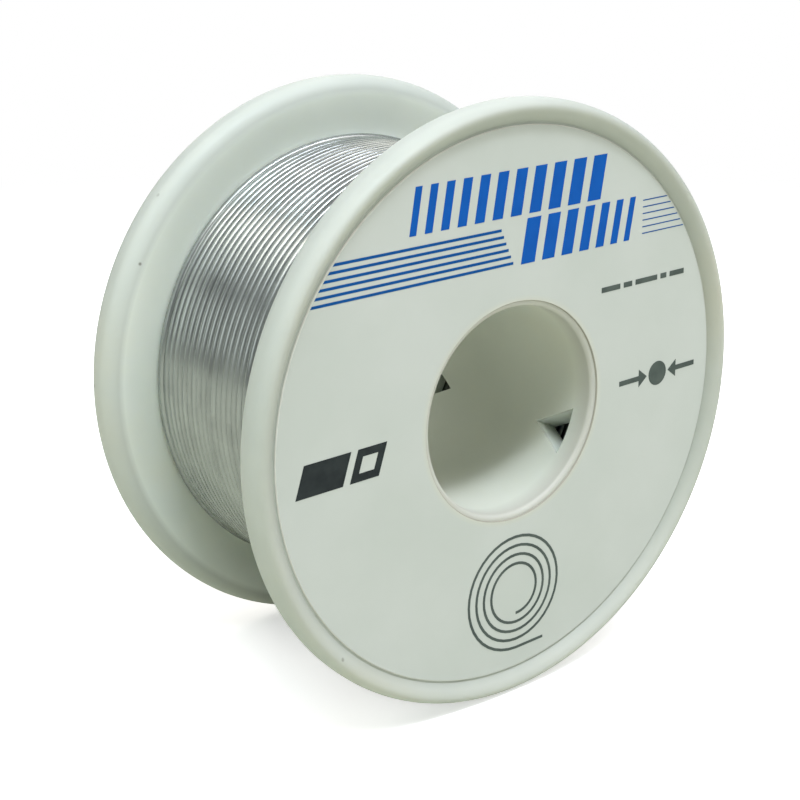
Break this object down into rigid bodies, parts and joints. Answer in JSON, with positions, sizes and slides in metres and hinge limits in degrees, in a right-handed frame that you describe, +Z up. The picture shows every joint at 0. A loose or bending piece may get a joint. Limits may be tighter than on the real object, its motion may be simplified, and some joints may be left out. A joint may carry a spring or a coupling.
{
  "type": "solder wire spool",
  "caption": "Small moulded plastic spool of solder wire, with rimmed flanges, a through bore, catch windows in the hub, a close winding of bright wire and a round front label.",
  "frame": {"origin": "centre of the bore, halfway between the two flanges", "axes": "+Y along the bore from the labelled flange to the plain flange, +Z up as the spool stands on its rims"},
  "size_m": [0.055, 0.0288, 0.055],
  "materials": {
    "spool_plastic": "moulded white plastic, satin",
    "solder": "bright drawn tin-lead wire",
    "label_stock": "smooth white label stock with printed marks"
  },
  "bodies": {
    "root": {"spool_body": "spool_plastic", "wire_inner_layers": "solder", "wire_outer_layer": "solder", "front_label": "label_stock"}
  },
  "joints": []
}
